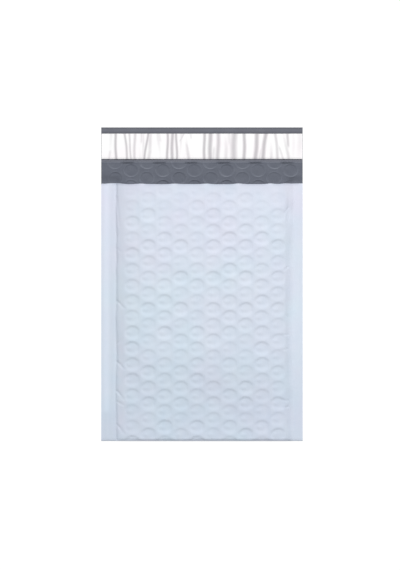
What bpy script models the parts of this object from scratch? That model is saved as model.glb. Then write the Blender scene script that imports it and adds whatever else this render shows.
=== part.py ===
"""A padded poly mailer, empty, lying on its back with its flap open.

One web of film is folded at the bottom and heat sealed down both sides. A pouch of bubble liner
lies inside it, and the flap carries an adhesive strip under a peel-off release liner.
Metres. X runs across the mailer, Y from the bottom fold to the flap, and Z is up.
The origin is under the middle of the outline, on the surface that the mailer lies on.
"""

import math

import bmesh
import bpy
from mathutils import Matrix, Vector

overall_width = 0.3100
flap_height = 0.4826
seal_width = 0.0235

# From the flap's free end down: bare film, release liner, bare film, and the liner's bare band.
end_margin = 0.0094
release_length = 0.0388
release_gap = 0.0048
liner_band = 0.0333
front_liner_drop = 0.0025

film = 0.0008
padding = 0.0036
crushed_padding = 0.0006
seal_weld = 0.0003
closed_gap = 0.0003
clearance = 0.0003

# The front wall rises from each seal by a steep flank and then a gentle shoulder.
# The padding sits nearer to the right seal than to the left one.
left_flank_width = 0.0100
left_shoulder_width = 0.0210
right_flank_width = 0.0050
right_shoulder_width = 0.0120
flank_share = 0.86
mouth_gap = 0.0062
mouth_run = 0.1400
crown_power = 4

# Bubbles stand in staggered columns. The field is a little right of the middle.
bubble_columns = 10
bubble_across = 0.0249
bubble_along = 0.0241
field_offset = 0.0046
first_bubble = 0.0036
plain_under_lip = 0.0080
dish_depth = 0.0007
back_dish_depth = 0.0005
ridge_across = 0.0045
ridge_along = 0.0083
dish_sides = 10

# The grey inner face shows pressed circles where the liner stands above the lip.
circle_across = 0.0245
circle_along = 0.0241
circle_gap_across = 0.0019
circle_gap_along = 0.0061
circle_depth = 0.0005
circle_slope = 0.0012
circle_offset = 0.0011
first_circle_rise = 0.0077
circle_sides = 10

liner_side_gap = 0.0025
tab_gap = 0.0015
tab_run = 0.0060
tab_edge_share = 0.45
tab_side_gap = 0.0005

release_thickness = 0.0004
release_side_gap = 0.0005
adhesive_length = 0.0254
adhesive_side_gap = 0.0100
adhesive_thickness = 0.0004

weld_distance = 0.00001
flat_angle = math.radians(0.1)
sharp_angle = math.radians(40)
fold_cuts = (-1.0, -0.5, 0.0, 0.5, 1.0)

# Heights are measured up the mailer from its bottom fold.
release_bottom = flap_height - end_margin - release_length
liner_height = release_bottom - release_gap
lip_height = liner_height - liner_band
front_liner_height = lip_height - front_liner_drop
half_width = overall_width / 2
seam = half_width - seal_width
seal_stack = 2 * film + seal_weld
padded_stack = 2 * (film + clearance + padding) + closed_gap
fold_radius = padded_stack / 2
fold_arc = math.pi / 2 * fold_radius
liner_face = film + clearance
dish_floor_width = bubble_across - ridge_across
dish_floor_length = bubble_along - ridge_along
circle_width = circle_across - circle_gap_across
circle_length = circle_along - circle_gap_along


def web_length(height):
    """Length of web from the middle of the fold to a height up either wall."""
    return height - fold_radius + fold_arc


def smooth(value):
    value = min(max(value, 0.0), 1.0)
    return value * value * (3 - 2 * value)


def stack_height(x, height):
    """Thickness of the whole mailer, from its back to its front."""
    inside = max(seam - abs(x), 0.0)
    flank_width = right_flank_width if x > 0 else left_flank_width
    shoulder_width = right_shoulder_width if x > 0 else left_shoulder_width
    flank = flank_share * inside / flank_width
    shoulder_slope = (1 - flank_share) / (shoulder_width - flank_width)
    shoulder = flank_share + shoulder_slope * (inside - flank_width)
    rise = min(flank, shoulder, 1.0)
    crown = 1 - min(abs(x) / seam, 1.0) ** crown_power
    opening = mouth_gap * crown * smooth(height / mouth_run)
    return seal_stack + (padded_stack - seal_stack) * rise + opening


def folded(x, along, depth):
    """Place of a web point once folded. Depth is how far it lies under the outer face."""
    turn = math.copysign(math.pi / 2 * min(abs(along) / fold_arc, 1.0), along)
    straight = max(abs(along) - fold_arc, 0.0)
    height = fold_radius - (fold_radius - depth) * math.cos(turn) + straight
    middle = stack_height(x, straight) / 2
    z = middle + (middle - depth) * math.sin(turn)
    return Vector((x, height - flap_height / 2, z))


def liner_thickness(x, along):
    """The liner is crushed thin towards the side seals, except in the tab above the mouth."""
    straight = max(abs(along) - fold_arc, 0.0)
    room = stack_height(x, straight) / 2 - closed_gap / 2 - liner_face
    pouch = max(min(padding, room), crushed_padding)
    inside = min((half_width - abs(x)) / seal_width, 1.0)
    tab = padding * (tab_edge_share + (1 - tab_edge_share) * inside)
    above_lip = -along - web_length(lip_height)
    share = smooth(above_lip / tab_run)
    return pouch + (tab - pouch) * share


def circle(web, sides, width, length, place, capped, fan=False):
    turn = Matrix.Rotation(math.pi / 2, 4, "Z")
    size = Matrix.Diagonal((width / 2, length / 2, 1, 1))
    matrix = Matrix.Translation(place) @ size @ turn
    made = bmesh.ops.create_circle(
        web, cap_ends=capped, cap_tris=fan, segments=sides, radius=1, matrix=matrix
    )
    return made["verts"]


def add_cell(web, x, along, depth, dished):
    """One six-sided cell of the web, flat, dimpled to its middle or dished to a flat floor."""
    width = bubble_across * 4 / 3
    length = bubble_along * 2 / math.sqrt(3)
    place = Vector((x, along, 0))
    if not dished:
        corners = circle(web, 6, width, length, place, True, depth > 0)
        for corner in corners:
            if (corner.co - place).length < weld_distance:
                corner.co.z = -depth
        return
    corners = circle(web, 6, width, length, place, False)
    floor_place = place - Vector((0, 0, depth))
    floor = circle(web, dish_sides, dish_floor_width, dish_floor_length, floor_place, True)
    rims = {edge for corner in corners + floor for edge in corner.link_edges}
    bmesh.ops.bridge_loops(web, edges=list(rims))


def cut(web, place, normal, clear=False):
    geometry = web.verts[:] + web.edges[:] + web.faces[:]
    bmesh.ops.bisect_plane(
        web, geom=geometry, dist=1e-7, plane_co=place, plane_no=normal, clear_outer=clear
    )


def bubble_web(web_half_width, back_end, front_end, dished):
    """A flat trimmed web, X across and Y along it from the fold, back wall on the minus side."""
    web = bmesh.new()
    first = -bubble_columns
    for column in range(first, 2 * bubble_columns):
        x = field_offset + (column - (bubble_columns - 1) / 2) * bubble_across
        if abs(x) > web_half_width + bubble_across:
            continue
        stagger = (column % 2) * bubble_along / 2
        in_columns = 0 <= column < bubble_columns and abs(x) + dish_floor_width / 2 < seam
        rows = int((web_length(flap_height)) / bubble_along) + 2
        for row in range(-rows, rows):
            along = first_bubble + row * bubble_along + stagger
            if not -back_end - bubble_along < along < front_end + bubble_along:
                continue
            top = web_length(lip_height) - plain_under_lip if along > 0 else web_length(liner_height)
            on_wall = fold_arc < abs(along) < top - bubble_along / 2
            bubbled = in_columns and on_wall
            front_depth = dish_depth if bubbled else 0.0
            back_depth = back_dish_depth if bubbled and dished else 0.0
            depth = front_depth if along > 0 else back_depth
            add_cell(web, x, along, depth, dished and bubbled and along > 0)
    bmesh.ops.remove_doubles(web, verts=web.verts, dist=weld_distance)
    for share in fold_cuts:
        cut(web, (0, share * fold_arc, 0), (0, 1, 0))
    for side, flank_width in ((-1, left_flank_width), (1, right_flank_width)):
        for inset in (0.0, liner_side_gap, flank_width):
            cut(web, (side * (seam - inset), 0, 0), (1, 0, 0))
        cut(web, (side * web_half_width, 0, 0), (side, 0, 0), clear=True)
    cut(web, (0, front_end, 0), (0, 1, 0), clear=True)
    cut(web, (0, -back_end, 0), (0, -1, 0), clear=True)
    return web


def notch_sides(web, notch_half_width, tab_start):
    """Cuts the web narrower between the side seals, leaving a full-width tab above the mouth."""
    for side in (-1, 1):
        cut(web, (side * notch_half_width, 0, 0), (1, 0, 0))
    cut(web, (0, -tab_start, 0), (0, 1, 0))
    trimmed = []
    for face in web.faces:
        middle = face.calc_center_median()
        if abs(middle.x) > notch_half_width and middle.y > -tab_start:
            trimmed.append(face)
    bmesh.ops.delete(web, geom=trimmed, context="FACES")


def flatten_dimples(web):
    """Turns each dimpled cell back into a plain flat one."""
    middles = [point for point in web.verts if point.co.z < weld_distance - dish_depth]
    bmesh.ops.dissolve_verts(web, verts=middles)
    for point in web.verts:
        point.co.z = 0


def fold_web(web, depth_at):
    """Moves every point of the flat web to its folded place, at its depth and relief."""
    for point in web.verts:
        x, along, relief = point.co
        point.co = folded(x, along, depth_at(x, along) - relief)


def closed_sheet(name, outer, inner, collection, materials):
    """Joins the two faces of a sheet along their rims into one closed object."""
    inner_mesh = bpy.data.meshes.new(name + "_inside")
    for face in inner.faces:
        face.material_index = 1
    inner.to_mesh(inner_mesh)
    outer.from_mesh(inner_mesh)
    bpy.data.meshes.remove(inner_mesh)
    inner.free()
    rims = [edge for edge in outer.edges if edge.is_boundary]
    bmesh.ops.bridge_loops(outer, edges=rims)
    bmesh.ops.recalc_face_normals(outer, faces=outer.faces)
    bmesh.ops.dissolve_limit(
        outer, angle_limit=flat_angle, verts=outer.verts, edges=outer.edges, delimit={"MATERIAL"}
    )
    bmesh.ops.triangulate(outer, faces=outer.faces)
    return add_object(name, outer, collection, materials)


def add_object(name, source, collection, materials=()):
    mesh = bpy.data.meshes.new(name)
    source.to_mesh(mesh)
    source.free()
    made = bpy.data.objects.new(name, mesh)
    collection.objects.link(made)
    for material in materials:
        mesh.materials.append(material)
    return made


def add_boolean(target, other, operation):
    modifier = target.modifiers.new(operation.lower(), "BOOLEAN")
    modifier.operation = operation
    modifier.object = other
    other.hide_render = True
    other.display_type = "WIRE"


def add_box(source, low, high):
    low = Vector(low)
    high = Vector(high)
    matrix = Matrix.Translation((low + high) / 2) @ Matrix.Diagonal((*(high - low), 1))
    bmesh.ops.create_cube(source, size=1, matrix=matrix)


def add_material(name, colour, roughness):
    material = bpy.data.materials.new(name)
    material.use_nodes = True
    shader = material.node_tree.nodes["Principled BSDF"]
    shader.inputs["Base Color"].default_value = (*colour, 1)
    shader.inputs["Roughness"].default_value = roughness
    material.diffuse_color = (*colour, 1)
    return material


def build_outer_shell(parts, helpers, materials):
    back_end = web_length(flap_height)
    front_end = web_length(lip_height)
    outer = bubble_web(half_width, back_end, front_end, dished=True)
    inner = bubble_web(half_width, back_end, front_end, dished=False)
    fold_web(outer, lambda x, along: 0.0)
    fold_web(inner, lambda x, along: film)
    shell = closed_sheet("outer_shell", outer, inner, parts, materials)
    strips = bmesh.new()
    inset = seal_weld
    for side in (-1, 1):
        edges = sorted((side * (seam + inset), side * (half_width - inset)))
        low = (edges[0], fold_radius / 2 - flap_height / 2, film / 2)
        high = (edges[1], lip_height - inset - flap_height / 2, seal_stack - film / 2)
        add_box(strips, low, high)
    add_boolean(shell, add_object("side_seal_welds", strips, helpers), "UNION")
    return shell


def build_bubble_liner(parts, helpers, materials):
    back_end = web_length(liner_height)
    front_end = web_length(front_liner_height)
    tab_start = web_length(lip_height + tab_gap)
    skins = []
    for skin in range(2):
        web = bubble_web(half_width - tab_side_gap, back_end, front_end, dished=False)
        notch_sides(web, seam - liner_side_gap, tab_start)
        skins.append(web)
    outer, inner = skins
    fold_web(outer, lambda x, along: liner_face)
    flatten_dimples(inner)
    fold_web(inner, lambda x, along: liner_face + liner_thickness(x, along))
    liner = closed_sheet("bubble_liner", outer, inner, parts, materials)
    add_boolean(liner, add_object("band_circles", band_circles(), helpers), "DIFFERENCE")
    return liner


def band_circles():
    """Shallow oval dishes pressed into the liner's grey face above the mouth."""
    circles = bmesh.new()
    columns = int(overall_width / circle_across)
    for column in range(columns):
        x = circle_offset + (column - (columns - 1) / 2) * circle_across
        stagger = (column % 2) * circle_along / 2
        for row in range(2):
            height = lip_height + first_circle_rise + row * circle_along + stagger
            if height - circle_length / 2 > liner_height - circle_slope:
                continue
            surface = liner_face + liner_thickness(x, -web_length(height))
            place = Vector((x, height - flap_height / 2, surface))
            size = Matrix.Diagonal((circle_width / 2, circle_length / 2, 2 * circle_depth, 1))
            floor_share = 1 - 2 * circle_slope / circle_length
            bmesh.ops.create_cone(
                circles,
                cap_ends=True,
                segments=circle_sides,
                radius1=floor_share,
                radius2=2 - floor_share,
                depth=1,
                matrix=Matrix.Translation(place) @ size,
            )
    return circles


def build_flap_strips(parts, adhesive_material, release_material):
    middle = release_bottom + release_length / 2 - flap_height / 2
    stack = (
        ("adhesive_strip", adhesive_side_gap, adhesive_length, adhesive_thickness, adhesive_material),
        ("release_liner", release_side_gap, release_length, release_thickness, release_material),
    )
    top = film
    for name, side_gap, length, thickness, material in stack:
        bottom = top + clearance
        top = bottom + thickness
        reach = half_width - side_gap
        strip = bmesh.new()
        low = (-reach, middle - length / 2, bottom)
        high = (reach, middle + length / 2, top)
        add_box(strip, low, high)
        add_object(name, strip, parts, (material,))


def main():
    for leftover in list(bpy.data.objects):
        bpy.data.objects.remove(leftover)
    scene = bpy.context.scene
    parts = bpy.data.collections.new("padded_mailer")
    helpers = bpy.data.collections.new("helpers")
    scene.collection.children.link(parts)
    scene.collection.children.link(helpers)

    white_film = add_material("white_film", (0.70, 0.74, 0.82), 0.42)
    grey_face = add_material("grey_face", (0.16, 0.17, 0.20), 0.45)
    hot_melt = add_material("hot_melt_adhesive", (0.75, 0.70, 0.50), 0.30)
    coated_paper = add_material("silicone_coated_paper", (0.86, 0.86, 0.85), 0.25)

    shell = build_outer_shell(parts, helpers, (white_film, grey_face))
    liner = build_bubble_liner(parts, helpers, (grey_face, grey_face))
    build_flap_strips(parts, hot_melt, coated_paper)
    for sheet in (shell, liner):
        sheet.data.shade_smooth()
        sheet.data.set_sharp_from_angle(angle=sharp_angle)


main()
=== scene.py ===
import math

import bmesh
import bpy
import numpy as np
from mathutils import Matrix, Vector


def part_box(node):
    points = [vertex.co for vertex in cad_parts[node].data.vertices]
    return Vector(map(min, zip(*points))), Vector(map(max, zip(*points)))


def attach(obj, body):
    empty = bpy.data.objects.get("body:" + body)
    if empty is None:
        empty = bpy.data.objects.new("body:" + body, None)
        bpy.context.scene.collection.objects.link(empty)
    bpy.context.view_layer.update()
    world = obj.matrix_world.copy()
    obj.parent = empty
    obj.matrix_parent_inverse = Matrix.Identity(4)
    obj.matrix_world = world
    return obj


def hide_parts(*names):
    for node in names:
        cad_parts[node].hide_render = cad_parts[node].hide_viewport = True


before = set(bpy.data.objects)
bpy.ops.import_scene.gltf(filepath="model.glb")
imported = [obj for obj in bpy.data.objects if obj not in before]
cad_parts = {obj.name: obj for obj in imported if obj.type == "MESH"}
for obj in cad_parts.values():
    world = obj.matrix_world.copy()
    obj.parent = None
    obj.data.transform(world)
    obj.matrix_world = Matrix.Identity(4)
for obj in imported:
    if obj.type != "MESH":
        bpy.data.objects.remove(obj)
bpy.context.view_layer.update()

# Sizes of the mailer in metres. Heights are measured up it from its bottom fold.
half_width = 0.1550
flap_height = 0.4826
lip_height = 0.3963
liner_height = 0.4296
front_liner_height = 0.3938
release_bottom = 0.4344
release_length = 0.0388
seal_width = 0.0235
film = 0.0008
padding = 0.0036
crushed_padding = 0.0006
seal_touch = 0.00005
closed_gap = 0.0003
clearance = 0.0003
mouth_gap = 0.0062
mouth_run = 0.1400
crown_power = 4

release_top = release_bottom + release_length
seam = half_width - seal_width
seal_stack = 2 * film + seal_touch
padded_stack = 2 * (film + clearance + padding) + closed_gap
fold_radius = padded_stack / 2
fold_arc = math.pi / 2 * fold_radius
liner_face = film + clearance

# The front wall rises from the left seam by a small step and a long slope, and from the right
# one by a rounded foot that starts a little outside the seam. The seams wander outwards.
# A fade, here and below, is given as the place where it starts and its run.
left_step = 0.17
left_step_reach = 0.0032
left_reach = 0.0165
right_foot = 0.0052
right_reach = 0.0094
right_power = 1.5
seam_drift = 0.0048
left_seam_drift = 0.0008
low_drift_share = 0.70
drift_fade = (0.20, 0.20)
seam_wobble = 0.0009
wobble_scale = 0.018

# The bubble field: staggered columns of dishes, each with an arch at its top and a bowl below.
bubble_columns = 10
bubble_across = 0.0249
bubble_along = 0.0241
field_offset = 0.0046
first_bubble = 0.0036
dish_depth = 0.00059
dish_variation = 0.45
dish_shift = 0.0005
dish_drift = 0.0004
arch_top = 0.0068
arch_drop = 0.0084
arch_power = 2.4
arch_slope = 0.0027
arch_softening = 0.45
bowl_bottom = -0.0114
bowl_rise = 0.0060
bowl_power = 2
bowl_slope = 0.0084
dish_side_slope = 0.0038
pucker_height = 0.00043
pucker_place = (-0.0050, -0.0031)
pucker_drift = (0.0012, 0.0006)
pucker_across = 0.0046
pucker_along = 0.0033
fold_bubble_share = 0.3
fold_bubble_run = 0.004

# Spacing of the points of each web, across it and along it. The film's are closer together
# in a band at each seam, from outside it to inside it.
left_seam_band = (0.003, 0.005)
right_seam_band = (0.006, 0.005)
film_margin_step = 0.0017
film_seam_step = 0.0010
film_middle_step = 0.0018
film_back_step = 0.0034
film_front_step = 0.0015
liner_step = 0.0014
liner_tab_step = 0.0008
liner_tab_foot_step = 0.0010
liner_wall_step = 0.0055
liner_fold_step = 0.0020
fold_reach = 0.012

# Relief of the film.
pouch_fade = (0.003, 0.008)
wall_fade = (0.004, 0.010)
under_lip_fade = (0.004, 0.008)
lip_dish_share = 0.42
lip_dish_run = 0.08
back_dish_share = 0.7
back_top_fade = (0.004, 0.008)
slow_wave_scale = 0.021
slow_wave_height = 0.00028
quick_wave_scale = 0.0085
quick_wave_height = 0.00007
margin_fade = (-0.001, 0.002)
strip_stretch = 0.06
strip_scale = 0.0048
strip_height = 0.00010
weld_line_x = -0.1412
weld_line_reach = 0.0022
weld_line_depth = 0.00016
weld_line_fade = (0.035, 0.020)
groove_place = 0.0002
groove_reach = 0.0019
groove_depth = 0.00034
groove_top = 0.33
groove_run = 0.05
hollow_place = (0.1330, 0.352)
hollow_reach = (0.0042, 0.034)
hollow_depth = 0.0009

# Creases that run in from the seams: height of the foot, rise, run and depth.
left_creases = (
    (0.3300, 0.0450, 0.0034, 0.0007),
    (0.2040, 0.0115, 0.0110, 0.0010),
    (0.1100, 0.0120, 0.0120, 0.0010),
    (0.0640, 0.0130, 0.0105, 0.0010),
    (0.0545, 0.0060, 0.0110, 0.0007),
    (0.0110, 0.0145, 0.0110, 0.0009),
    (0.1550, -0.0050, 0.0060, 0.0005),
    (0.2900, 0.0060, 0.0060, 0.0005),
)
right_creases = (
    (0.3500, 0.0090, 0.0060, 0.0006),
    (0.2620, 0.0060, 0.0070, 0.0005),
    (0.1960, -0.0060, 0.0060, 0.0005),
    (0.1630, 0.0010, 0.0110, 0.0005),
    (0.1400, 0.0020, 0.0100, 0.0005),
    (0.0640, -0.0020, 0.0120, 0.0006),
    (0.0510, 0.0020, 0.0100, 0.0006),
)
# For each side: its sign, how far inside the seam its creases start, their half width, and
# the creases.
crease_sides = (
    (-1, 0.001, 0.0022, left_creases),
    (1, -0.001, 0.0020, right_creases),
)
crease_fading = 0.6

# The lip sags a little, and rises to a peak at every second bubble column.
lip_drop = -0.0012
lip_peak_place = 0.0425
lip_peak_height = 0.0010
lip_peak_power = 1.6
lip_peak_share = 0.45
lip_loose_run = 0.02
lip_noise_scale = 0.013
lip_noise_height = 0.00025
lip_pull_run = 0.03
hem_run = 0.003
hem_middle = 0.0047
hem_reach = 0.006
hem_rounding = 0.00035

# Circles pressed into the liner's grey face, in staggered columns.
circle_across = 0.0245
circle_along = 0.0241
circle_columns = int(2 * half_width / circle_across)
circle_offset = 0.0011
first_circle = 0.4040
circle_half_width = 0.0111
circle_half_length = 0.0097
circle_drift = 0.0005
circle_depth = 0.00046
circle_variation = 0.3
circle_edge = (0.90, 0.10)
rim_height = 0.00026
rim_reach = 0.07

# The liner's top edge stands up a little, and drops into a crease above each disc under it.
lift_height = 0.00016
lift_fade = (0.0006, 0.0028)
pinch_height = 0.00110
pinch_strength = 1.7
pinch_place = 0.40
pinch_reach = 0.30
edge_drop = 0.0006
wrinkle_scale = 0.0075
wrinkle_height = 0.00012
# Tone of the liner's plain face, and how patchy the painted highlights on its rims are.
plain_face = 0.3
patch_scale = 0.0065
patch_middle = 0.75
patch_swing = 0.55
patch_limits = (0.25, 1.0)

# The liner's tab above the mouth, its play inside the film and the circles in the pouch.
tab_gap = 0.0003
tab_run = 0.0130
tab_edge_share = 0.45
tab_side_gap = 0.0005
liner_side_gap = 0.0025
dish_room = 0.0006
hidden_circle_share = 0.6
liner_edge_round = 0.0003
liner_edge_reach = 0.0012
room_fade = (0.004, 0.006)
room_end_run = 0.004
tab_fade = (-0.002, 0.004)
hidden_circle_fade = (0.012, 0.010)

sharp_angle = math.radians(50)

# Random values: the tables of the smooth noise first, and then five values for each bubble.
rng = np.random.default_rng(7)
noise_size = 64
noise_shift = (0.37, 0.61)
noise_tables = rng.uniform(-1, 1, (6, noise_size, noise_size))
cell_rows = 64
cell_tables = rng.uniform(-1, 1, (5, bubble_columns, cell_rows))
shift_random, arch_random, pucker_along_random, depth_random, pucker_across_random = cell_tables


def web_length(height):
    """Length of web from the middle of the fold to a height up either wall."""
    return height - fold_radius + fold_arc


def web_height(along):
    """Height up either wall of a place along the web."""
    return np.abs(along) - fold_arc + fold_radius


def past_fold(along):
    """Length of straight wall between the fold's arc and a place along the web."""
    return np.maximum(np.abs(along) - fold_arc, 0.0)


def smooth(value):
    value = np.clip(value, 0.0, 1.0)
    return value * value * (3 - 2 * value)


def fade_in(value, start, run):
    """0 up to the start, rising smoothly to 1 over the run."""
    return smooth((value - start) / run)


def hump(value, middle, spread):
    """1 at the middle, falling smoothly to 0 at the spread on either side."""
    return 1 - smooth(np.abs(value - middle) / spread)


def lattice_noise(x, y, scale, table):
    """Smooth noise from -1 to 1, with features of about that scale."""
    u = x / scale + noise_shift[0] * noise_size
    v = y / scale + noise_shift[1] * noise_size
    i, j = np.floor(u).astype(int), np.floor(v).astype(int)
    fu, fv = smooth(u - i), smooth(v - j)
    i, j = i % noise_size, j % noise_size
    next_i, next_j = (i + 1) % noise_size, (j + 1) % noise_size
    near = table[i, j] * (1 - fu) + table[next_i, j] * fu
    far = table[i, next_j] * (1 - fu) + table[next_i, next_j] * fu
    return near * (1 - fv) + far * fv


def seam_at(x, height):
    """Distance of the seam from the middle. The right one drifts outwards towards the lip."""
    wobble = seam_wobble * lattice_noise(height, np.sign(x), wobble_scale, noise_tables[0])
    drift_share = low_drift_share + (1 - low_drift_share) * fade_in(height, *drift_fade)
    return seam + wobble + np.where(x > 0, seam_drift * drift_share, left_seam_drift)


def stack_height(x, height):
    """Thickness of the whole mailer, from its back to its front."""
    inside = seam_at(x, height) - np.abs(x)
    within = np.maximum(inside, 0.0)
    left_slope = 1 - np.exp(-within / left_reach)
    left = left_step * smooth(within / left_step_reach) + (1 - left_step) * left_slope
    right = 1 - np.exp(-((np.maximum(inside + right_foot, 0.0) / right_reach) ** right_power))
    rise = np.where(x > 0, right, left)
    crown = 1 - np.minimum(np.abs(x) / seam, 1.0) ** crown_power
    opening = mouth_gap * crown * smooth(height / mouth_run)
    return seal_stack + (padded_stack - seal_stack) * rise + opening


def folded(x, along, depth):
    """Places of web points once folded. Depth is how far they lie under the outer face."""
    turn = np.copysign(math.pi / 2 * np.minimum(np.abs(along) / fold_arc, 1.0), along)
    straight = past_fold(along)
    height = fold_radius - (fold_radius - depth) * np.cos(turn) + straight
    middle = stack_height(x, straight) / 2
    z = middle + (middle - depth) * np.sin(turn)
    return np.stack([x, height - flap_height / 2, z], -1)


def bubbles(x, along):
    """Relief of the field: each dish drops steeply under an arch and rises slowly to a bowl."""
    middle_column = (bubble_columns - 1) / 2
    half_across = bubble_across / 2
    column = np.round((x - field_offset) / bubble_across + middle_column).astype(int)
    inside = (column >= 0) & (column < bubble_columns)
    column = np.clip(column, 0, bubble_columns - 1)
    middle_x = field_offset + (column - middle_column) * bubble_across
    stagger = (column % 2) * bubble_along / 2
    low = bowl_bottom - bowl_slope / 2
    row = np.floor((along - first_bubble - stagger - low) / bubble_along).astype(int)
    cell = (column, row + cell_rows // 2)

    u = x - middle_x - dish_shift - dish_drift * shift_random[cell]
    v = along - first_bubble - stagger - row * bubble_along
    away = np.abs(u) / half_across
    arch = arch_top + dish_drift * arch_random[cell] - arch_drop * away**arch_power
    bowl = bowl_bottom + bowl_rise * away**bowl_power
    slope = arch_slope * (1 + arch_softening * smooth(-u / half_across))
    under_arch = smooth((arch - v) / slope + 0.5)
    over_bowl = smooth((v - bowl) / bowl_slope + 0.5)
    sides = smooth((half_across - np.abs(x - middle_x)) / dish_side_slope)
    depth = dish_depth * (1 + dish_variation * depth_random[cell])

    pucker_x = u - pucker_place[0] + pucker_drift[0] * pucker_across_random[cell]
    pucker_y = v - pucker_place[1] + pucker_drift[1] * pucker_along_random[cell]
    pucker = np.exp(-((pucker_x / pucker_across) ** 2) - (pucker_y / pucker_along) ** 2)
    relief = -depth * under_arch * over_bowl * sides + pucker_height * pucker
    field_start = fold_bubble_share * web_length(0.0)
    return np.where(inside, relief, 0.0) * fade_in(np.abs(along), field_start, fold_bubble_run)


def crease(x, along, start, end, width, depth):
    """A straight sharp fold between two points of the web, shallower towards its end."""
    start, end = np.array(start), np.array(end)
    way = end - start
    share = ((x - start[0]) * way[0] + (along - start[1]) * way[1]) / (way @ way)
    share = np.clip(share, 0, 1)
    gap = np.hypot(x - start[0] - share * way[0], along - start[1] - share * way[1])
    return -depth * (1 - smooth(gap / width)) * (1 - crease_fading * share)


def bubble_share(along):
    """How deep the bubbles are at a place along the web, next to those low on the front wall."""
    from_lip = web_length(lip_height) - along
    from_back_top = web_length(liner_height) + along
    near_lip = lip_dish_share + (1 - lip_dish_share) * smooth(from_lip / lip_dish_run)
    front = fade_in(from_lip, *under_lip_fade) * near_lip
    back = back_dish_share * fade_in(from_back_top, *back_top_fade)
    return np.where(along > 0, front, back)


def film_relief(x, along):
    """How far the outer face of the film stands out from its plain folded form."""
    height = past_fold(along)
    seam_inside = seam_at(x, height) - np.abs(x)
    in_pouch = fade_in(seam_inside, *pouch_fade)
    on_wall = fade_in(np.abs(along), *wall_fade)
    relief = bubbles(x, along) * bubble_share(along) * in_pouch
    slow = lattice_noise(x, along, slow_wave_scale, noise_tables[1]) * slow_wave_height
    quick = lattice_noise(x, along, quick_wave_scale, noise_tables[2]) * quick_wave_height
    relief = relief + (slow + quick) * on_wall * in_pouch
    # The sealed margins have faint lengthwise strips, and the left one a line of its own.
    margin = 1 - fade_in(seam_inside, *margin_fade)
    strips = lattice_noise(x, along * strip_stretch, strip_scale, noise_tables[3]) * strip_height
    weld_line = weld_line_depth * hump(x, weld_line_x, weld_line_reach)
    weld_line = weld_line * fade_in(height, *weld_line_fade)
    relief = relief + margin * on_wall * (strips - weld_line)
    for side, inset, width, creases in crease_sides:
        start_x = seam - inset
        for foot, rise, run, depth in creases:
            top = (side * start_x, web_length(foot + rise))
            bottom = (side * (start_x - run), web_length(foot))
            relief = relief + crease(x, along, top, bottom, width, depth)
    # The right seam shows as a fine groove.
    groove = hump(seam_inside, groove_place, groove_reach) * smooth((groove_top - height) / groove_run)
    relief = relief - groove_depth * groove * on_wall * (x > 0)
    # Near the mouth the film sags into a long hollow beside the right seam.
    hollow = hump(x, hollow_place[0], hollow_reach[0]) * hump(height, hollow_place[1], hollow_reach[1])
    return relief - hollow_depth * hollow * (along > 0)


def lip_phase(x):
    """1 where the lip has its peaks, at every second bubble column, and -1 halfway between."""
    return np.cos((x + lip_peak_place) / (2 * circle_across) * 2 * math.pi)


def lip_wave(x):
    """How far the lip reaches past its plain height."""
    peaks = lip_peak_height * (np.exp(lip_peak_power * (lip_phase(x) - 1)) - lip_peak_share)
    loose = smooth((seam - np.abs(x)) / lip_loose_run)
    noise = lip_noise_height * lattice_noise(x, 0.0, lip_noise_scale, noise_tables[4])
    return (lip_drop + peaks) * loose + noise


def grid_faces(rows, columns):
    corner = (np.arange(rows - 1)[:, None] * columns + np.arange(columns - 1)[None, :]).ravel()
    return np.stack([corner, corner + 1, corner + columns + 1, corner + columns], 1)


def rim_loop(rows, columns):
    grid = np.arange(rows * columns).reshape(rows, columns)
    return np.concatenate([grid[0, :-1], grid[:-1, -1], grid[-1, :0:-1], grid[:0:-1, 0]])


def remove_loose_points(mesh):
    solid = bmesh.new()
    solid.from_mesh(mesh)
    loose = [point for point in solid.verts if not point.link_faces]
    bmesh.ops.delete(solid, geom=loose, context="VERTS")
    solid.to_mesh(mesh)
    solid.free()


def coarse_rim(loop, inner_loop):
    """Faces between a rim and one that has every second point of it."""
    rim = []
    for i, near in enumerate(inner_loop):
        far = inner_loop[(i + 1) % len(inner_loop)]
        first, middle, last = (loop[(2 * i + j) % len(loop)] for j in range(3))
        rim += [(near, far, middle), (middle, first, near), (last, middle, far)]
    return rim


def closed_sheet(name, outer, inner, inner_material=0, keep=None):
    """One closed mesh from two grids of points, joined along their rims. The inner grid is as
    fine as the outer one, or has every second point of it. Keep says which cells are built."""
    rows, columns = outer.shape[:2]
    count = rows * columns
    faces = grid_faces(rows, columns)
    inner_rows, inner_columns = inner.shape[:2]
    inner_faces = grid_faces(inner_rows, inner_columns)[:, ::-1] + count
    if keep is not None:
        faces, inner_faces = faces[keep.ravel()], inner_faces[keep.ravel()]
    if inner_rows == rows:
        starts, ends = faces.ravel(), np.roll(faces, -1, 1).ravel()
        shared = np.isin(starts * count + ends, ends * count + starts)
        near, far = starts[~shared], ends[~shared]
        rim = np.stack([far, near, near + count, far + count], 1).tolist()
    else:
        inner_loop = rim_loop(inner_rows, inner_columns) + count
        rim = coarse_rim(rim_loop(rows, columns), inner_loop)
    every_face = faces.tolist() + inner_faces.tolist() + rim
    points = np.concatenate([outer.reshape(-1, 3), inner.reshape(-1, 3)])
    mesh = bpy.data.meshes.new(name)
    mesh.from_pydata(points.tolist(), [], every_face)
    slots = np.zeros(len(every_face), dtype=np.int32)
    slots[len(faces) : len(faces) + len(inner_faces)] = inner_material
    mesh.update()
    made = bpy.data.objects.new(name, mesh)
    bpy.context.scene.collection.objects.link(made)
    return made, slots


def finish_mesh(made, materials, slots):
    mesh = made.data
    for material in materials:
        mesh.materials.append(material)
    mesh.polygons.foreach_set("material_index", slots)
    mesh.shade_smooth()
    mesh.set_sharp_from_angle(angle=sharp_angle)
    mesh.update()


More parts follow.
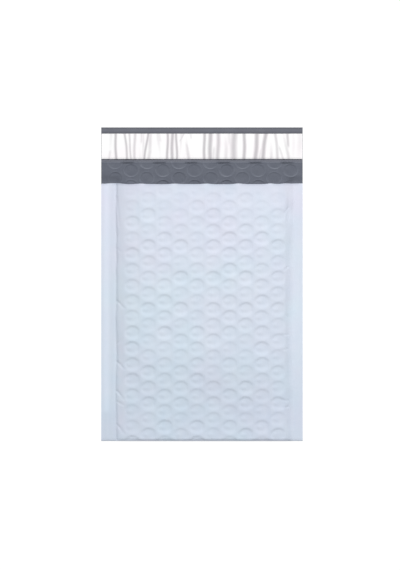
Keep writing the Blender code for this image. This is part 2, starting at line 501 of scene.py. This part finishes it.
def set_tone(made, name, values, inner_step=1):
    """Stores a value at each point of a sheet's outer grid, and at the same places of its inner
    grid, which has every point of the outer one or every second one."""
    inner_values = values[::inner_step, ::inner_step]
    both = np.concatenate([values.ravel(), inner_values.ravel()])
    attribute = made.data.attributes.new(name, "FLOAT", "POINT")
    attribute.data.foreach_set("value", both.astype(np.float32))


def steps(*stops):
    """Positions along a web, from (end, step) pairs after the first start value."""
    start = stops[0]
    runs = []
    for end, step in stops[1:]:
        count = max(int(round((end - start) / step)), 1)
        runs.append(np.linspace(start, end, count, endpoint=False))
        start = end
    runs.append(np.array([start]))
    return np.concatenate(runs)


def odd_count(places):
    """Leaves one place out if their number is even, so that every second one has both ends."""
    return np.delete(places, 1) if len(places) % 2 == 0 else places


def build_outer_film(materials):
    front_end = web_length(lip_height)
    across = steps(
        -half_width,
        (-seam - left_seam_band[0], film_margin_step),
        (-seam + left_seam_band[1], film_seam_step),
        (seam - right_seam_band[1], film_middle_step),
        (seam + right_seam_band[0], film_seam_step),
        (half_width, film_margin_step),
    )
    along = steps(
        -web_length(flap_height),
        (-fold_reach, film_back_step),
        (fold_reach, film_front_step),
        (front_end, film_front_step),
    )
    x, s = np.meshgrid(odd_count(across), odd_count(along))
    edge_pull = lip_wave(x) * fade_in(s, front_end - lip_pull_run, lip_pull_run)
    s = s + edge_pull
    relief = film_relief(x, s)
    outer = folded(x, s, -relief)
    inner = folded(x, s, film - relief)
    # The hem above the release liner is a little rounded.
    hem = fade_in(-s, web_length(release_top), hem_run)
    rounding = hump(-s, web_length(flap_height) - hem_middle, hem_reach) * hem
    inner[..., 2] += hem_rounding * rounding
    # Nothing of the back wall reaches below the plane that it lies on.
    outer[..., 2] = np.maximum(outer[..., 2], 0.0)
    made, slots = closed_sheet("outer_film", outer, inner[::2, ::2], inner_material=1)
    finish_mesh(made, materials, slots)
    for name, values in film_tones(x, s, front_end - s + edge_pull).items():
        set_tone(made, name, values, inner_step=2)
    return made


# Tones of the film. A strip is given as its distance from the mailer's edge, its half width
# and its tone, and the tone of the right margin as its height, half length and strength.
margin_tone_fade = (-0.002, 0.004)
upper_margin_fade = (0.27, 0.10)
upper_margin_loss = 0.5
# Painted shade along the lip, left out at its peaks.
lip_shade_power = 7
lip_shade_reach = 0.0045
blush_middle = -0.1225
blush_reach = 0.0140
blush_top = 0.25
blush_top_run = 0.08
blush_foot_run = 0.03
blush_scale = 0.012
blush_level = 0.7
blush_swing = 0.5
plain_seal = 0.5
sealed_run = 0.002
pale_strip = (0.0082, 0.0058, 0.25)
dark_strip = (0.0178, 0.0070, 0.17)
# Painted light on the bottom fold, which turns away from the lamp.
fold_painted_light = 0.5
fold_painted_light_height = 0.0045
left_foot_fade = (0.040, 0.010)
left_foot_tone = 0.28
right_tone = (0.19, 0.14, 0.17)


def margin_tone(x, height):
    """Tone of the sealed margins, and painted light on the bottom fold: 0.5 is plain, 0 darker, 1
    lighter.
    """
    from_edge = half_width - np.abs(x)
    sealed = smooth((seal_width - from_edge) / sealed_run)
    pale = pale_strip[2] * hump(from_edge, *pale_strip[:2])
    dark = dark_strip[2] * hump(from_edge, *dark_strip[:2])
    # Painted light on the bottom fold, away from the seals.
    fold = fold_painted_light * (1 - smooth(height / fold_painted_light_height)) * (1 - sealed)
    above_foot = fade_in(height, *left_foot_fade)
    left = (pale - dark) * above_foot - left_foot_tone * (1 - above_foot) * sealed
    right = right_tone[2] * hump(height, *right_tone[:2]) * sealed
    return plain_seal + np.where(x < 0, left, right) + fold


def film_tones(x, along, from_lip):
    """Values for the film's material: the sealed margins, the painted shade next to the lip between
    its peaks, the tones of the margins with the painted light on the fold, and the pink beside the
    left seam. Along is the place on the web, and from_lip the length of web between there and the lip."""
    margin = 1 - fade_in(seam_at(x, past_fold(along)) - np.abs(x), *margin_tone_fade)
    margin = margin * (1 - upper_margin_loss * fade_in(along, *upper_margin_fade))
    # Painted shade along the lip between its peaks.
    peaks = np.exp(lip_shade_power * (lip_phase(x) - 1))
    near_lip = (1 - smooth(from_lip / lip_shade_reach)) * (1 - peaks)
    height = along - fold_arc + fold_radius
    blush = hump(x, blush_middle, blush_reach)
    blush = blush * smooth((blush_top - height) / blush_top_run) * smooth(height / blush_foot_run)
    patches = blush_level + blush_swing * lattice_noise(x, along, blush_scale, noise_tables[2])
    return {
        "margin": margin,
        "near_lip": near_lip,
        "seal_tone_and_fold_light": margin_tone(x, web_height(along)),
        "blush": blush * np.clip(patches, 0, 1),
    }


def liner_thickness(x, along):
    """The liner is crushed thin towards the side seals, except in the tab above the mouth."""
    room = stack_height(x, past_fold(along)) / 2 - closed_gap / 2 - liner_face
    pouch = np.clip(room, crushed_padding, padding)
    inside = np.minimum((half_width - np.abs(x)) / seal_width, 1.0)
    tab = padding * (tab_edge_share + (1 - tab_edge_share) * np.sin(inside * math.pi / 2))
    share = fade_in(-along, web_length(lip_height), tab_run)
    return pouch + (tab - pouch) * share


def circles(x, height):
    """Relief of the pressed circles, which are sunk discs with a fine rim, and the rims alone."""
    middle_column = (circle_columns - 1) / 2
    column = np.round((x - circle_offset) / circle_across + middle_column)
    column = np.clip(column, 0, circle_columns - 1).astype(int)
    middle_x = circle_offset + (column - middle_column) * circle_across
    stagger = (column % 2) * circle_along / 2
    row = np.round((height - first_circle - stagger) / circle_along).astype(int)
    v = height - first_circle - stagger - row * circle_along
    jitter = noise_tables[5][column, row % noise_size]
    u = x - middle_x - circle_drift * jitter
    reach = np.hypot(u / circle_half_width, v / circle_half_length)
    disc = 1 - fade_in(reach, *circle_edge)
    rim = np.exp(-(((reach - 1.0) / rim_reach) ** 2))
    depth = circle_depth * (1 + circle_variation * jitter)
    return rim_height * rim - depth * disc, rim


def band_relief(x, along):
    """Relief of the liner above the mouth, and its tone: 0.3 plain, 0 painted crease shade, 1 painted
    rim highlight.
    """
    height = web_height(along)
    relief, rims = circles(x, height)
    column = (x - circle_offset) / circle_across + (circle_columns - 1) / 2
    pinch = smooth(pinch_strength * hump((column / 2) % 1.0, pinch_place, pinch_reach))
    below = liner_height - height
    lift = 1 - fade_in(below, *lift_fade)
    lifted = lift * (lift_height + pinch_height * pinch) * (1 - hump(below, 0, edge_drop))
    wrinkle = lattice_noise(x, height, wrinkle_scale, noise_tables[1]) * wrinkle_height
    patches = patch_middle + patch_swing * lattice_noise(x, height, patch_scale, noise_tables[2])
    # Painted highlights on the rims, and painted shade in the creases above the discs.
    pale = (1 - plain_face) * rims * np.clip(patches, *patch_limits)
    return relief + lifted + wrinkle, plain_face + pale - plain_face * pinch * lift


def build_bubble_liner(materials):
    back_end = web_length(liner_height)
    front_end = web_length(front_liner_height)
    tab_start = web_length(lip_height + tab_gap)
    narrow = seam - liner_side_gap
    wide = half_width - tab_side_gap
    along = steps(
        -back_end,
        (-tab_start, liner_tab_step),
        (-tab_start + room_end_run, liner_tab_foot_step),
        (-fold_reach, liner_wall_step),
        (fold_reach, liner_fold_step),
        (front_end, liner_wall_step),
    )
    across = steps(-wide, (-narrow, liner_step), (narrow, liner_step), (wide, liner_step))
    x, s = np.meshgrid(across, along)
    middle_x = (x[1:, 1:] + x[:-1, :-1]) / 2
    middle_s = (s[1:, 1:] + s[:-1, :-1]) / 2
    # Below the tab the web is narrower, to fit between the side seals.
    keep = (np.abs(middle_x) < narrow) | (middle_s < -tab_start)
    pouch = fade_in(np.abs(s), *room_fade) * fade_in(s, -tab_start, room_end_run)
    tab = fade_in(-s - tab_start, *tab_fade)
    outer = folded(x, s, liner_face + dish_room * pouch)
    relief, tone = band_relief(x, s)
    pressed = circles(x, web_height(s))[0]
    hidden = hidden_circle_share * pressed * (1 - tab)
    hidden = hidden * fade_in(np.abs(s), *hidden_circle_fade)
    thickness = liner_thickness(x, s)
    edge_round = liner_edge_round * fade_in(-s, back_end - liner_edge_reach, liner_edge_reach) ** 2
    face = (relief * tab + hidden) * thickness / padding
    inner = folded(x, s, liner_face + thickness + face - edge_round)
    made, slots = closed_sheet("bubble_liner_web", outer, inner, keep=keep)
    finish_mesh(made, materials, slots)
    # Painted rim highlights and crease shade of the tab's face.
    set_tone(made, "rim_highlight_and_crease_shade", plain_face + (tone - plain_face) * tab)
    remove_loose_points(made.data)
    return made


# Streaks of the release liner, painted reflections that also ripple it, in pixels of the photo:
# place at its top and bottom edge, half width, and strength.
streaks = (
    (110.8, 109.5, 1.6, 0.25), (115.4, 116.0, 1.2, 1.0), (124.8, 127.2, 1.1, 0.75),
    (129.0, 131.0, 0.9, 0.6), (134.8, 134.4, 1.3, 0.55), (140.2, 139.8, 1.0, 0.3),
    (143.4, 142.6, 1.0, 0.3), (148.0, 144.2, 1.1, 0.95), (150.6, 148.8, 1.6, 0.45),
    (157.8, 160.4, 1.4, 0.3), (167.6, 167.2, 1.2, 0.9), (172.2, 172.0, 1.5, 1.0),
    (176.2, 176.8, 1.1, 1.0), (181.6, 179.0, 1.0, 0.35), (185.4, 188.6, 1.3, 0.5),
    (204.2, 204.2, 1.4, 1.0), (210.2, 210.0, 2.0, 1.0), (218.2, 217.6, 1.9, 0.7),
    (225.8, 225.8, 1.8, 0.35), (234.2, 233.2, 3.0, 0.7), (244.2, 244.0, 1.6, 1.0),
    (257.0, 255.2, 2.0, 0.95), (265.6, 262.4, 1.9, 0.95), (271.4, 270.8, 1.5, 0.45),
    (275.2, 277.6, 1.4, 0.55), (283.6, 288.4, 1.5, 0.45), (293.0, 293.4, 1.6, 0.15),
    (299.4, 299.4, 2.6, 0.22),
)
# Painted reflection streaks that run only part of the way: place at the top and bottom end, the
# share of the strip where each end lies, half width, and strength.
short_streaks = (
    (287.2, 288.2, 0.35, 1.00, 1.3, 0.80), (183.6, 179.0, 0.62, 1.00, 0.9, 0.60),
    (150.5, 148.5, 0.00, 0.45, 1.6, 0.55), (110.5, 109.0, 0.00, 0.40, 1.2, 0.40),
    (141.6, 141.0, 0.55, 1.00, 0.8, 0.45), (158.6, 160.2, 0.60, 1.00, 1.5, 0.35),
    (185.6, 189.2, 0.00, 0.75, 1.2, 0.55), (262.0, 259.0, 0.00, 0.50, 1.0, 0.40),
    (278.0, 283.0, 0.00, 0.60, 1.0, 0.50), (190.6, 191.2, 0.75, 1.00, 1.0, 0.35),
    (214.0, 213.2, 0.00, 0.55, 1.2, 0.40), (229.0, 230.0, 0.45, 1.00, 1.8, 0.35),
)
photo_middle = 201.8
metres_per_pixel = 0.0015394
streak_spread = 1.8
streak_bend = 0.3
streak_bend_turns = 5
streak_fade_turns = 3
faint_streak = 0.5
faint_level = 0.55
streak_gain = 1.25
streak_limit = 1.1
short_end_run = 0.35

# The release liner ripples with its streaks. Its lower edge reaches past the adhesive and curls
# down towards the film. Its rows of points are closer together there.
release_columns = 387
release_rows = (0, (0.09, 0.0180), (1, 0.055))
streak_ripple = 0.00024
paper_ripple = 0.00012
paper_ripple_scale = 0.0042
paper_stretch = 0.008
paper_edge_wave = 0.00016
paper_edge_scale = 0.03
lower_edge_reach = 0.0003
upper_edge_drop = 0.0004
curl_share = 0.38
curl_reach = 0.0025

# The adhesive strip has a crowned top with fine ripples, and wavy edges.
adhesive_columns = 97
adhesive_rows = 11
adhesive_edge_wave = 0.0004
adhesive_edge_scale = 0.02
adhesive_crown = 0.00012
adhesive_crown_share = 0.15
adhesive_ripple = 0.00002
adhesive_ripple_scale = 0.004
adhesive_stretch = 0.02


def streak_hump(x, place, spread):
    middle = (place - photo_middle) * metres_per_pixel
    return hump(x, middle, spread * metres_per_pixel * streak_spread)


def streak_field(x, share):
    """Tone 0 to 1 of the release liner's lengthwise painted reflections. Share runs from bottom to top.
    """
    tone = np.zeros_like(x)
    for top, bottom, spread, strength in streaks:
        bend = streak_bend * np.sin(share * streak_bend_turns + top)
        place = bottom + (top - bottom) * share + bend
        fade = 1.0
        if strength <= faint_streak:
            fade = faint_level + (1 - faint_level) * np.cos(share * streak_fade_turns + bottom)
        level = min(streak_gain * strength, streak_limit) * fade
        tone = np.maximum(tone, level * streak_hump(x, place, spread))
    for top, bottom, low, high, spread, strength in short_streaks:
        run = (share - low) / (high - low)
        place = bottom + (top - bottom) * run
        low_end = smooth(run / short_end_run) if low > 0 else 1.0
        high_end = smooth((1 - run) / short_end_run) if high < 1 else (run <= 1)
        tone = np.maximum(tone, strength * low_end * high_end * streak_hump(x, place, spread))
    return tone


def build_release_liner(materials):
    box_low, box_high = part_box("release_liner")
    reach = half_width - tab_side_gap
    across = np.linspace(-reach, reach, release_columns)
    x, share = np.meshgrid(across, steps(*release_rows))
    tone = streak_field(x, share)
    paper = lattice_noise(x, share * paper_stretch, paper_ripple_scale, noise_tables[0])
    ripple = streak_ripple * tone + paper_ripple * paper
    curl = curl_share * (box_low.z - film) * (1 - smooth(share * release_length / curl_reach))
    wave = paper_edge_wave * lattice_noise(x, 0.0, paper_edge_scale, noise_tables[2])
    edge = wave * (2 * share - 1) - lower_edge_reach * (1 - smooth(2 * share))
    edge = edge - upper_edge_drop * smooth(share * 2 - 1)
    y = box_low.y + (box_high.y - box_low.y) * share + edge
    upper = np.stack([x, y, box_high.z + ripple - curl], -1)
    lower = np.stack([x, y, box_low.z + np.maximum(ripple, 0) - curl], -1)
    made, slots = closed_sheet("release_liner_strip", upper, lower)
    set_tone(made, "streak_reflection", tone)
    finish_mesh(made, materials, slots)
    return made


def build_adhesive(materials):
    box_low, box_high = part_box("adhesive_strip")
    across = np.linspace(box_low.x, box_high.x, adhesive_columns)
    x, share = np.meshgrid(across, np.linspace(0, 1, adhesive_rows))
    outward = 2 * share - 1
    wave = adhesive_edge_wave * lattice_noise(x, share, adhesive_edge_scale, noise_tables[3])
    y = box_low.y + (box_high.y - box_low.y) * share - np.abs(wave * outward) * outward
    crown = adhesive_crown * smooth((0.5 - np.abs(share - 0.5)) / adhesive_crown_share)
    noise = lattice_noise(x, share * adhesive_stretch, adhesive_ripple_scale, noise_tables[4])
    top = box_high.z - adhesive_crown + crown + adhesive_ripple * noise
    upper = np.stack([x, y, top], -1)
    lower = np.stack([x, y, np.full_like(x, box_low.z)], -1)
    made, slots = closed_sheet("adhesive_bead", upper, lower)
    finish_mesh(made, materials, slots)
    return made


def new_material(name, roughness, specular):
    material = bpy.data.materials.new(name)
    material.use_nodes = True
    tree = material.node_tree
    shader = tree.nodes["Principled BSDF"]
    shader.inputs["Roughness"].default_value = roughness
    shader.inputs["Specular IOR Level"].default_value = specular
    return material, tree, shader


def object_noise(tree, scale, detail, stretch=(1, 1, 1)):
    coordinates = tree.nodes.new("ShaderNodeTexCoord")
    mapping = tree.nodes.new("ShaderNodeMapping")
    mapping.inputs["Scale"].default_value = stretch
    noise = tree.nodes.new("ShaderNodeTexNoise")
    noise.inputs["Scale"].default_value = scale
    noise.inputs["Detail"].default_value = detail
    tree.links.new(coordinates.outputs["Object"], mapping.inputs["Vector"])
    tree.links.new(mapping.outputs["Vector"], noise.inputs["Vector"])
    return noise.outputs["Fac"]


def ramp(tree, source, stops):
    node = tree.nodes.new("ShaderNodeValToRGB")
    elements = node.color_ramp.elements
    while len(elements) > len(stops):
        elements.remove(elements[-1])
    while len(elements) < len(stops):
        elements.new(0.5)
    for element, (place, colour) in zip(elements, stops):
        element.position = place
        element.color = (*colour, 1)
    tree.links.new(source, node.inputs["Fac"])
    return node.outputs["Color"]


def attribute_ramp(tree, name, stops):
    """Colour by a value that the mesh holds at its points."""
    attribute = tree.nodes.new("ShaderNodeAttribute")
    attribute.attribute_name = name
    return ramp(tree, attribute.outputs["Fac"], stops)


def multiply(tree, colours):
    """Product of several colours."""
    product = colours[0]
    for colour in colours[1:]:
        node = tree.nodes.new("ShaderNodeMix")
        node.data_type = "RGBA"
        node.blend_type = "MULTIPLY"
        node.inputs["Factor"].default_value = 1.0
        tree.links.new(product, node.inputs[6])
        tree.links.new(colour, node.inputs[7])
        product = node.outputs[2]
    return product


def lengthwise(tree, stops):
    """Colour by the height up the mailer, from (height, colour) pairs."""
    coordinates = tree.nodes.new("ShaderNodeTexCoord")
    split = tree.nodes.new("ShaderNodeSeparateXYZ")
    tree.links.new(coordinates.outputs["Object"], split.inputs["Vector"])
    span = tree.nodes.new("ShaderNodeMapRange")
    low, high = stops[0][0], stops[-1][0]
    span.inputs["From Min"].default_value = low - flap_height / 2
    span.inputs["From Max"].default_value = high - flap_height / 2
    tree.links.new(split.outputs["Y"], span.inputs["Value"])
    shares = [((height - low) / (high - low), colour) for height, colour in stops]
    return ramp(tree, span.outputs["Result"], shares)


def bump(tree, shader, source, distance, strength):
    node = tree.nodes.new("ShaderNodeBump")
    node.inputs["Distance"].default_value = distance
    node.inputs["Strength"].default_value = strength
    tree.links.new(source, node.inputs["Height"])
    tree.links.new(node.outputs["Normal"], shader.inputs["Normal"])


def grey(brightness):
    """The same brightness in all three colours."""
    return (brightness, brightness, brightness)


def white_film_material():
    material, tree, shader = new_material("white_film_face", roughness=0.6, specular=0.3)
    patches = ((0.3, (0.655, 0.703, 0.812)), (0.7, (0.680, 0.714, 0.815)))
    # Painted light and tint: a little lighter towards the bottom, where the lamp is dimmer, and greener
    # and bluer there.
    fade = (
        (0.0, (1.017, 1.062, 1.062)),
        (0.041, (1.013, 1.060, 1.058)),
        (0.216, (1.000, 1.040, 1.016)),
        (0.391, (1.006, 0.990, 0.985)),
    )
    margin = ((0.0, (0.994, 1.0, 1.003)), (1.0, (1.01, 1.008, 1.008)))
    # Painted shade along the lip between its peaks.
    near_lip = ((0.0, grey(1.0)), (1.0, (0.82, 0.83, 0.85)))
    # The top of this ramp is painted light on the bottom fold.
    seal_tone_and_fold_light = (
        (0.0, (0.91, 0.915, 0.925)),
        (0.5, grey(1.0)),
        (0.75, (1.055, 1.055, 1.06)),
        (1.0, (1.42, 1.37, 1.37)),
    )
    blush = ((0.0, grey(1.0)), (1.0, (1.045, 0.995, 1.0)))
    tints = ((0.38, (0.984, 1.010, 1.002)), (0.62, (1.014, 0.990, 0.999)))
    lines = ((0.3, (0.975, 0.98, 0.99)), (0.7, grey(1.0)))
    colours = (
        ramp(tree, object_noise(tree, scale=38.0, detail=3.0), patches),
        lengthwise(tree, fade),
        attribute_ramp(tree, "margin", margin),
        attribute_ramp(tree, "near_lip", near_lip),
        attribute_ramp(tree, "seal_tone_and_fold_light", seal_tone_and_fold_light),
        attribute_ramp(tree, "blush", blush),
        ramp(tree, object_noise(tree, scale=13.0, detail=2.0), tints),
        ramp(tree, object_noise(tree, scale=30.0, detail=2.0, stretch=(6.0, 0.35, 1.0)), lines),
    )
    tree.links.new(multiply(tree, colours), shader.inputs["Base Color"])
    grain = object_noise(tree, scale=420.0, detail=4.0)
    bump(tree, shader, grain, distance=0.00008, strength=0.35)
    return material


def grey_film_material():
    material, tree, shader = new_material("grey_film_face", roughness=0.55, specular=0.35)
    patches = ((0.3, (0.124, 0.130, 0.157)), (0.7, (0.138, 0.144, 0.173)))
    # Painted light: below and under the release liner's lower edge the film is lighter, against its
    # shadow.
    hem = grey(0.97)
    hem_edge_shade = grey(0.78)
    tones = (
        (liner_height, grey(1.06)),
        (release_bottom - 0.0018, grey(1.14)),
        (release_bottom, grey(1.60)),
        (release_top - 0.0020, grey(1.0)),
        # Painted shade: the hem above has a darker line at each edge.
        (release_top, hem_edge_shade),
        (release_top + 0.0026, hem_edge_shade),
        (release_top + 0.0036, hem),
        (flap_height - 0.0032, hem),
        (flap_height - 0.0022, hem_edge_shade),
        (flap_height, hem_edge_shade),
    )
    colours = (ramp(tree, object_noise(tree, scale=60.0, detail=3.0), patches), lengthwise(tree, tones))
    tree.links.new(multiply(tree, colours), shader.inputs["Base Color"])
    grain = object_noise(tree, scale=500.0, detail=4.0)
    bump(tree, shader, grain, distance=0.00008, strength=0.35)
    return material


def liner_material():
    material, tree, shader = new_material("grey_bubble_face", roughness=0.55, specular=0.35)
    patches = ((0.3, (0.098, 0.108, 0.138)), (0.7, (0.114, 0.125, 0.156)))
    # Painted light: next to the lip the face is a little lighter, against the shade of the lip's wall.
    by_lip_painted_light = ((lip_height, grey(1.15)), (lip_height + 0.011, grey(1.0)))
    # Painted highlights round each pressed circle, and painted shade in the creases.
    rim_highlight_and_crease_shade = (
        (0.0, (0.86, 0.86, 0.87)),
        (plain_face, grey(1.0)),
        (0.42, grey(1.0)),
        (0.9, (1.22, 1.22, 1.21)),
    )
    colours = (
        ramp(tree, object_noise(tree, scale=90.0, detail=4.0), patches),
        lengthwise(tree, by_lip_painted_light),
        attribute_ramp(tree, "rim_highlight_and_crease_shade", rim_highlight_and_crease_shade),
    )
    tree.links.new(multiply(tree, colours), shader.inputs["Base Color"])
    grain = object_noise(tree, scale=700.0, detail=4.0)
    bump(tree, shader, grain, distance=0.0001, strength=0.5)
    return material


def release_material():
    material, tree, shader = new_material("coated_paper_face", roughness=0.22, specular=0.6)
    # The streaks are painted reflections, grey on the white paper.
    streak_reflection = ((0.0, grey(0.92)), (0.45, (0.74, 0.73, 0.74)), (1.0, (0.53, 0.52, 0.535)))
    tint = ((0.35, grey(1.0)), (0.7, (1.0, 0.965, 0.985)))
    colours = (
        attribute_ramp(tree, "streak_reflection", streak_reflection),
        ramp(tree, object_noise(tree, scale=26.0, detail=1.0), tint),
    )
    tree.links.new(multiply(tree, colours), shader.inputs["Base Color"])
    grain = object_noise(tree, scale=900.0, detail=3.0)
    bump(tree, shader, grain, distance=0.00003, strength=0.2)
    return material


def adhesive_material():
    material, tree, shader = new_material("hot_melt_face", roughness=0.3, specular=0.5)
    patches = ((0.3, (0.72, 0.66, 0.44)), (0.7, (0.80, 0.75, 0.56)))
    base = ramp(tree, object_noise(tree, scale=120.0, detail=3.0), patches)
    tree.links.new(base, shader.inputs["Base Color"])
    grain = object_noise(tree, scale=600.0, detail=2.0)
    bump(tree, shader, grain, distance=0.0001, strength=0.4)
    return material


# The studio: a white floor and world that light the mailer less than they show, and one lamp.
floor_reach = 6.0
floor_drop = 0.0002
floor_grey = 0.16
floor_glow = 0.94
floor_roughness = 0.9
world_light = 0.5
lamp_place = (0.25, 1.81, 1.30)
lamp_target = (0, 0.05, 0)
lamp_size = (1.5, 0.8)
lamp_power = 46.5

camera_distance = 4.0
camera_middle = (-0.00300, -0.00126)
camera_front = -0.003
photo_rows = 570.35
frame_height = photo_rows * metres_per_pixel
sensor_height = 24
nearest_seen = 0.01


def shows_white(tree):
    """1 where the camera sees a surface straight, in a gloss or through glass."""
    path = tree.nodes.new("ShaderNodeLightPath")
    total = path.outputs["Is Camera Ray"]
    for name in ("Is Glossy Ray", "Is Transmission Ray"):
        node = tree.nodes.new("ShaderNodeMath")
        node.operation = "MAXIMUM"
        tree.links.new(total, node.inputs[0])
        tree.links.new(path.outputs[name], node.inputs[1])
        total = node.outputs["Value"]
    return total


def build_floor():
    mesh = bpy.data.meshes.new("floor")
    signs = ((-1, -1), (1, -1), (1, 1), (-1, 1))
    corners = [(across * floor_reach, along * floor_reach, 0) for across, along in signs]
    mesh.from_pydata(corners, [], [(0, 1, 2, 3)])
    floor = bpy.data.objects.new("floor", mesh)
    floor.location.z = -floor_drop
    bpy.context.scene.collection.objects.link(floor)
    material = bpy.data.materials.new("floor_white")
    material.use_nodes = True
    tree = material.node_tree
    shader = tree.nodes["Principled BSDF"]
    shader.inputs["Base Color"].default_value = (floor_grey, floor_grey, floor_grey, 1)
    shader.inputs["Roughness"].default_value = floor_roughness
    shader.inputs["Specular IOR Level"].default_value = 0.0
    shader.inputs["Emission Color"].default_value = (1, 1, 1, 1)
    scale = tree.nodes.new("ShaderNodeMath")
    scale.operation = "MULTIPLY"
    scale.inputs[1].default_value = floor_glow
    tree.links.new(shows_white(tree), scale.inputs[0])
    tree.links.new(scale.outputs["Value"], shader.inputs["Emission Strength"])
    mesh.materials.append(material)


def build_light():
    world = bpy.data.worlds.new("studio")
    bpy.context.scene.world = world
    world.use_nodes = True
    tree = world.node_tree
    background = tree.nodes["Background"]
    background.inputs["Color"].default_value = (1, 1, 1, 1)
    strength = tree.nodes.new("ShaderNodeMapRange")
    strength.inputs["To Min"].default_value = world_light
    strength.inputs["To Max"].default_value = 1.0
    tree.links.new(shows_white(tree), strength.inputs["Value"])
    tree.links.new(strength.outputs["Result"], background.inputs["Strength"])
    data = bpy.data.lights.new("key_lamp", "AREA")
    data.shape = "RECTANGLE"
    data.size, data.size_y = lamp_size
    data.energy = lamp_power
    lamp = bpy.data.objects.new("key_lamp", data)
    lamp.location = lamp_place
    direction = Vector(lamp_target) - Vector(lamp_place)
    lamp.rotation_euler = direction.to_track_quat("-Z", "Y").to_euler()
    bpy.context.scene.collection.objects.link(lamp)


def build_camera():
    data = bpy.data.cameras.new("camera")
    data.sensor_fit = "VERTICAL"
    data.sensor_height = sensor_height
    data.lens = sensor_height * camera_distance / frame_height
    data.clip_start = nearest_seen
    camera = bpy.data.objects.new("camera", data)
    camera.location = (*camera_middle, camera_distance + camera_front)
    bpy.context.scene.collection.objects.link(camera)
    bpy.context.scene.camera = camera


def main():
    bpy.context.scene.view_settings.view_transform = "Standard"
    build_camera()
    build_light()
    build_floor()

    outer_film = build_outer_film((white_film_material(), grey_film_material()))
    bubble_liner = build_bubble_liner((liner_material(),))
    release = build_release_liner((release_material(),))
    adhesive = build_adhesive((adhesive_material(),))

    pieces = (
        (outer_film, "outer_shell", "white_film"),
        (bubble_liner, "bubble_liner", "grey_bubble_film"),
        (release, "release_liner", "release_paper"),
        (adhesive, "adhesive_strip", "hot_melt"),
    )
    for piece, node, slot in pieces:
        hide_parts(node)
        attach(piece, "root")


main()
